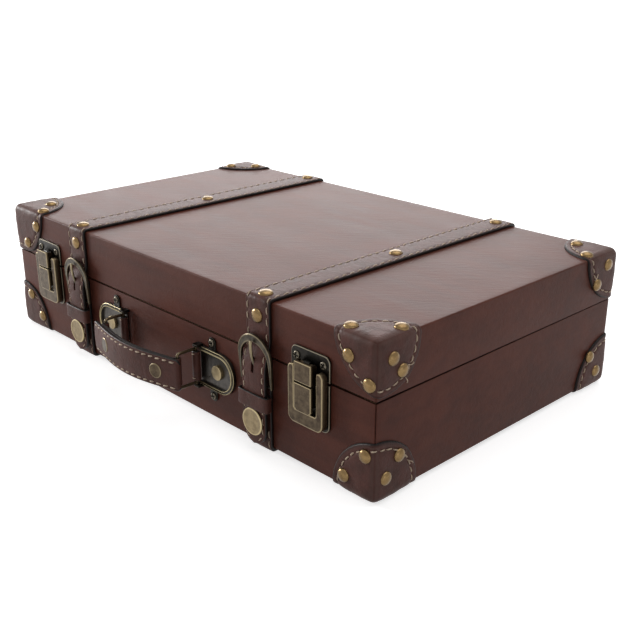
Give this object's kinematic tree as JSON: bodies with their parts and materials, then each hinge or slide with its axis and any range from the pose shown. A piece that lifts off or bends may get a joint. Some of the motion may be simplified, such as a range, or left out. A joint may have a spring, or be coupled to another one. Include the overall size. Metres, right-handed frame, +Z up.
{
  "type": "wooden suitcase box",
  "caption": "Flat rectangular suitcase box with leather corners and straps, buckled belts, tongue latches, a hinged lid and a swinging carrying handle.",
  "frame": {"origin": "middle of the whole object's footprint, at the underside of the straps it stands on", "axes": "+X to the right seen from the front, +Y from the front to the hinges, +Z up"},
  "size_m": [0.4192, 0.2888, 0.1078],
  "materials": {
    "leatherette": "satin",
    "wood": "matte",
    "lining": "matte",
    "leather": "satin",
    "brass": "satin",
    "dark_brass": "satin"
  },
  "bodies": {
    "base": {"base_bottom_board": "wood", "base_front_board": "wood", "base_back_board": "wood", "base_left_board": "wood", "base_right_board": "wood", "base_cover": "leatherette", "base_lining": "lining", "base_front_left": "leather", "base_front_right": "leather", "base_back_left": "leather", "base_back_right": "leather", "base_strap_left": "leather", "base_strap_right": "leather", "snap_stud_left": "brass", "snap_stud_right": "brass", "handle_plate_left": "dark_brass", "handle_plate_right": "dark_brass", "latch_plate_left": "dark_brass", "latch_plate_right": "dark_brass", "latch_housing_left": "dark_brass", "latch_housing_right": "dark_brass", "hinge_lower_left": "dark_brass", "hinge_lower_right": "dark_brass"},
    "lid": {"lid_top_board": "wood", "lid_front_board": "wood", "lid_back_board": "wood", "lid_left_board": "wood", "lid_right_board": "wood", "lid_cover": "leatherette", "lid_lining": "lining", "lid_front_left": "leather", "lid_front_right": "leather", "lid_back_left": "leather", "lid_back_right": "leather", "lid_strap_left": "leather", "lid_strap_right": "leather", "lid_latch_plate_left": "dark_brass", "lid_latch_plate_right": "dark_brass", "hinge_upper_left": "dark_brass", "hinge_upper_right": "dark_brass"},
    "belt_left": {"belt_tongue_left": "leather", "buckle_left": "dark_brass", "prong_left": "dark_brass", "keeper_left": "leather", "snap_cap_left": "brass"},
    "hasp_left": {"latch_hasp_left": "dark_brass"},
    "slider_left": {"latch_slider_left": "dark_brass"},
    "ring_left": {"handle_ring_left": "dark_brass", "handle_tab_left": "leather"},
    "belt_right": {"belt_tongue_right": "leather", "buckle_right": "dark_brass", "prong_right": "dark_brass", "keeper_right": "leather", "snap_cap_right": "brass"},
    "hasp_right": {"latch_hasp_right": "dark_brass"},
    "slider_right": {"latch_slider_right": "dark_brass"},
    "ring_right": {"handle_ring_right": "dark_brass", "handle_tab_right": "leather"},
    "grip": {"grip_outer": "leather", "grip_inner": "leather"}
  },
  "joints": [
    {"name": "lid_hinge", "type": "hinge", "parent": "base", "child": "lid", "pos_m": [0, 0.14185, 0.0661], "axis": [-1, 0, 0], "range_deg": [0, 100]},
    {"name": "belt_left_swing", "type": "hinge", "parent": "lid", "child": "belt_left", "pos_m": [-0.107, -0.11335, 0.08671], "axis": [-1, 0, 0], "range_deg": [0, 90]},
    {"name": "hasp_left_flip", "type": "hinge", "parent": "lid", "child": "hasp_left", "pos_m": [-0.1535, -0.11445, 0.0751], "axis": [-1, 0, 0], "range_deg": [0, 90]},
    {"name": "slider_left_travel", "type": "slide", "parent": "base", "child": "slider_left", "axis": [0, 0, -1], "range_m": [0, 0.0035], "stiffness_N_per_m": 200, "springref_m": -0.002},
    {"name": "belt_right_swing", "type": "hinge", "parent": "lid", "child": "belt_right", "pos_m": [0.107, -0.11335, 0.08671], "axis": [-1, 0, 0], "range_deg": [0, 90]},
    {"name": "hasp_right_flip", "type": "hinge", "parent": "lid", "child": "hasp_right", "pos_m": [0.1535, -0.11445, 0.0751], "axis": [-1, 0, 0], "range_deg": [0, 90]},
    {"name": "slider_right_travel", "type": "slide", "parent": "base", "child": "slider_right", "axis": [0, 0, -1], "range_m": [0, 0.0035], "stiffness_N_per_m": 200, "springref_m": -0.002},
    {"name": "handle_right_swing", "type": "hinge", "parent": "base", "child": "ring_right", "pos_m": [0.044, -0.11515, 0.0392], "axis": [0, 0, 1], "range_deg": [-70, 70]},
    {"name": "handle_left_swing", "type": "hinge", "parent": "base", "child": "ring_left", "pos_m": [-0.044, -0.11515, 0.0392], "axis": [0, 0, 1], "range_deg": [-70, 70]},
    {"name": "grip_pivot", "type": "hinge", "parent": "ring_right", "child": "grip", "pos_m": [0.044, -0.13065, 0.0392], "axis": [0, 0, 1], "range_deg": [-70, 70]}
  ],
  "couplings": [
    {"joint": "handle_left_swing", "follows": "handle_right_swing", "ratio": 1},
    {"joint": "grip_pivot", "follows": "handle_right_swing", "ratio": -1}
  ]
}
